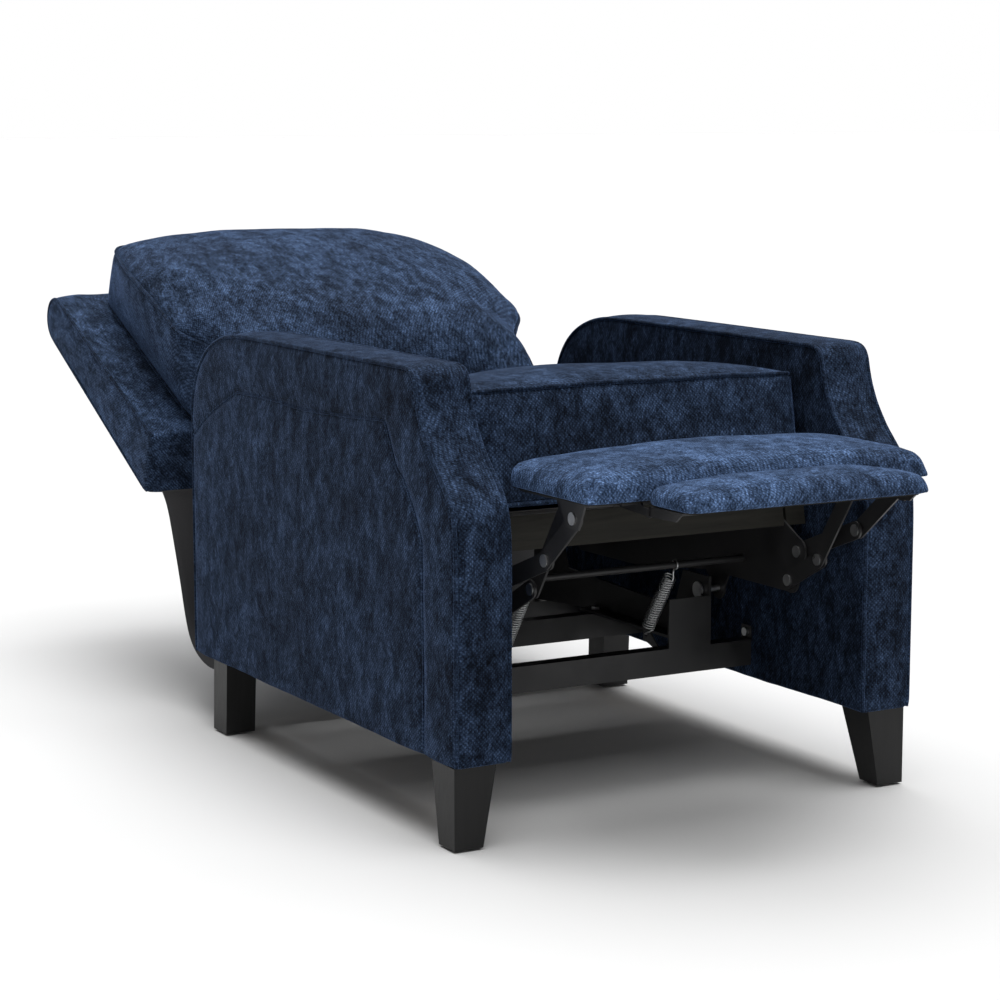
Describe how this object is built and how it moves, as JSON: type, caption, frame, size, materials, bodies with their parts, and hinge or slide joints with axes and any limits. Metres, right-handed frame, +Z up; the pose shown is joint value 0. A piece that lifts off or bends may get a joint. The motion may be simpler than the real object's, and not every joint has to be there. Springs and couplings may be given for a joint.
{
  "type": "recliner armchair",
  "caption": "Padded armchair with a boxed seat, a reclining pillow back and a folding link-driven footrest with a flipper, on tapered legs.",
  "frame": {"origin": "on the floor below the middle of the reclined chair's bounding box", "axes": "+Z up, +Y from the footrest towards the back, +X to the right as seen from the front; the chair faces -Y"},
  "size_m": [0.7, 1.7037, 0.7006],
  "materials": {
    "blue_velvet": "mottled velvet",
    "black_steel": "satin black powder coat",
    "zinc_steel": "zinc plated",
    "spring_steel": "black oiled spring steel",
    "timber": "raw plywood",
    "black_lacquer": "satin black lacquer",
    "dark_board": "dark stained board",
    "black_cloth": "thin black non-woven",
    "black_plastic": "moulded"
  },
  "bodies": {
    "base": {"left_arm_frame": "timber", "right_arm_frame": "timber", "left_arm_cover": "blue_velvet", "right_arm_cover": "blue_velvet", "front_left_leg": "black_lacquer", "front_right_leg": "black_lacquer", "rear_left_leg": "black_lacquer", "rear_right_leg": "black_lacquer", "leg_bolts": "zinc_steel", "leg_glides": "black_plastic", "front_rail": "black_steel", "middle_rail": "black_steel", "rear_rail": "black_steel", "rail_bolts": "zinc_steel", "left_base_plate": "black_steel", "right_base_plate": "black_steel", "base_plate_bolts": "zinc_steel", "pivot_shaft": "zinc_steel", "dust_cloth": "black_cloth", "return_springs": "zinc_steel"},
    "seat": {"left_seat_rail": "dark_board", "right_seat_rail": "dark_board", "front_seat_rail": "dark_board", "rear_seat_rail": "dark_board", "seat_springs": "spring_steel", "seat_deck": "black_cloth", "seat_cushion": "blue_velvet", "left_seat_plate": "black_steel", "right_seat_plate": "black_steel", "guide_rollers": "zinc_steel", "spring_crossbar": "black_steel", "link_pivot_bolts": "zinc_steel"},
    "front_lower_links": {"left_front_lower_link": "black_steel", "right_front_lower_link": "black_steel", "front_link_rivets": "zinc_steel"},
    "rear_lower_links": {"left_rear_lower_link": "black_steel", "right_rear_lower_link": "black_steel", "rear_link_rivets": "zinc_steel"},
    "front_upper_links": {"left_front_upper_link": "black_steel", "right_front_upper_link": "black_steel"},
    "rear_upper_links": {"left_rear_upper_link": "black_steel", "right_rear_upper_link": "black_steel"},
    "footrest": {"left_footrest_bracket": "black_steel", "right_footrest_bracket": "black_steel", "bracket_rivets": "zinc_steel", "footrest_board": "dark_board", "footrest_pad": "blue_velvet", "flipper_pins": "black_steel"},
    "flipper": {"flipper_board": "dark_board", "flipper_pad": "blue_velvet", "flipper_hinges": "black_steel"},
    "back": {"left_back_stile": "timber", "right_back_stile": "timber", "back_cross_rails": "timber", "back_cover": "blue_velvet", "back_cushion": "blue_velvet", "lower_back_panel": "black_cloth", "left_back_bracket": "black_steel", "right_back_bracket": "black_steel"}
  },
  "joints": [
    {"name": "back_recline", "type": "hinge", "parent": "base", "child": "back", "pos_m": [0, 0.125, 0.33], "axis": [1, 0, 0], "range_deg": [0, 52], "deforming": ["dust_cloth"]},
    {"name": "seat_tilt", "type": "hinge", "parent": "base", "child": "seat", "pos_m": [0, 0.125, 0.33], "axis": [1, 0, 0], "range_deg": [-0.1, 7.1], "deforming": ["return_springs"]},
    {"name": "footrest_fold", "type": "hinge", "parent": "seat", "child": "front_lower_links", "pos_m": [0, -0.503, 0.32], "axis": [1, 0, 0], "range_deg": [0, 141.84]},
    {"name": "front_upper_link_turn", "type": "hinge", "parent": "front_lower_links", "child": "front_upper_links", "pos_m": [0, -0.625, 0.366], "axis": [1, 0, 0], "range_deg": [-133.5, 0.5]},
    {"name": "footrest_swing", "type": "hinge", "parent": "front_upper_links", "child": "footrest", "pos_m": [0, -0.701, 0.429], "axis": [1, 0, 0], "range_deg": [-0.5, 74.5]},
    {"name": "rear_lower_link_turn", "type": "hinge", "parent": "seat", "child": "rear_lower_links", "pos_m": [0, -0.49, 0.279], "axis": [1, 0, 0], "range_deg": [-0.5, 159]},
    {"name": "rear_upper_link_turn", "type": "hinge", "parent": "rear_lower_links", "child": "rear_upper_links", "pos_m": [0, -0.564, 0.319], "axis": [1, 0, 0], "range_deg": [-157.5, 0.5]},
    {"name": "flipper_turn", "type": "hinge", "parent": "footrest", "child": "flipper", "pos_m": [0, -0.757, 0.44], "axis": [1, 0, 0], "range_deg": [-0.5, 171]}
  ],
  "couplings": [
    {"joint": "seat_tilt", "follows": "back_recline", "ratio": 0.13462},
    {"joint": "front_upper_link_turn", "follows": "footrest_fold", "ratio": -0.936},
    {"joint": "footrest_swing", "follows": "footrest_fold", "ratio": 0.52115},
    {"joint": "rear_lower_link_turn", "follows": "footrest_fold", "ratio": 1.1169},
    {"joint": "rear_upper_link_turn", "follows": "footrest_fold", "ratio": -1.1045},
    {"joint": "flipper_turn", "follows": "footrest_fold", "ratio": 1.1985}
  ]
}
